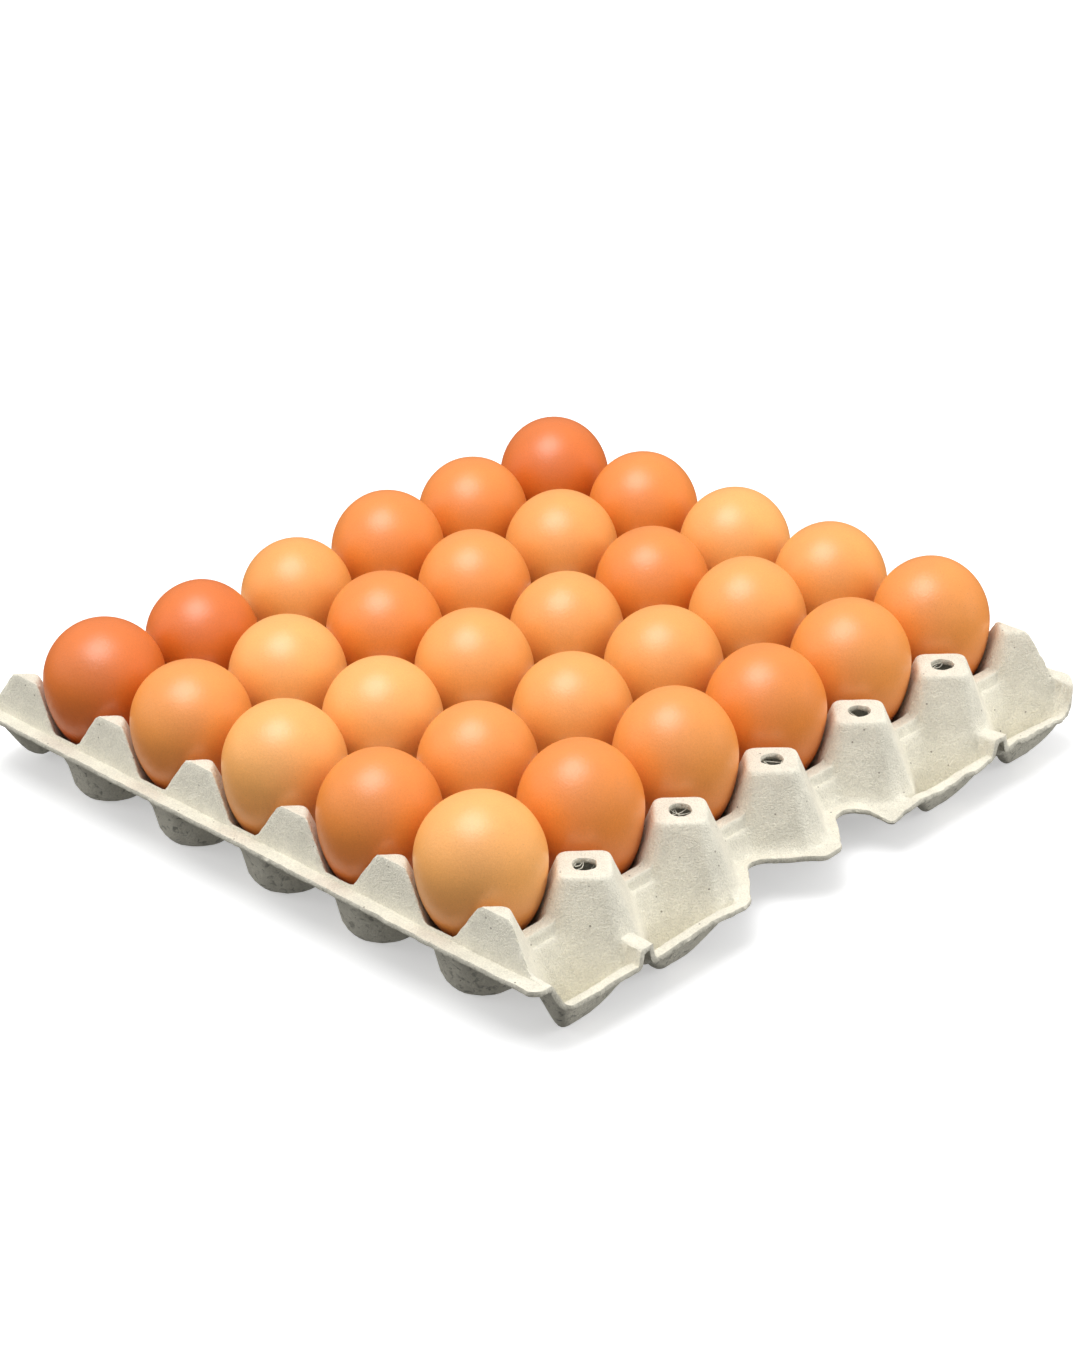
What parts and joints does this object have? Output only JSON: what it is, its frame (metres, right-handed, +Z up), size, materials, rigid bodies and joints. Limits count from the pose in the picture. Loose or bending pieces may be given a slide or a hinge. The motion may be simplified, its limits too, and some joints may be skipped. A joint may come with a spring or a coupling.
{
  "type": "egg tray with eggs",
  "caption": "Open moulded pulp egg tray filled with brown hen's eggs standing on end between hollow posts, with level rims at its ends and scalloped lips along its sides.",
  "frame": {"origin": "middle of the tray on the surface that it stands on", "axes": "+Z up, +X along the rows of six eggs towards one straight rim, +Y along the rows of five eggs towards one scalloped side"},
  "size_m": [0.287, 0.298, 0.0711],
  "materials": {
    "pulp": "rough moulded paper pulp, unbleached light grey with fine fibres and dark specks",
    "eggshell": "eggshell, satin and finely pored, from cream tan to deep orange brown"
  },
  "bodies": {
    "root": {"tray": "pulp", "egg_1_1": "eggshell", "egg_1_2": "eggshell", "egg_1_3": "eggshell", "egg_1_4": "eggshell", "egg_1_5": "eggshell", "egg_1_6": "eggshell", "egg_2_1": "eggshell", "egg_2_2": "eggshell", "egg_2_3": "eggshell", "egg_2_4": "eggshell", "egg_2_5": "eggshell", "egg_2_6": "eggshell", "egg_3_1": "eggshell", "egg_3_2": "eggshell", "egg_3_3": "eggshell", "egg_3_4": "eggshell", "egg_3_5": "eggshell", "egg_3_6": "eggshell", "egg_4_1": "eggshell", "egg_4_2": "eggshell", "egg_4_3": "eggshell", "egg_4_4": "eggshell", "egg_4_5": "eggshell", "egg_4_6": "eggshell", "egg_5_1": "eggshell", "egg_5_2": "eggshell", "egg_5_3": "eggshell", "egg_5_4": "eggshell", "egg_5_5": "eggshell", "egg_5_6": "eggshell"}
  },
  "joints": []
}
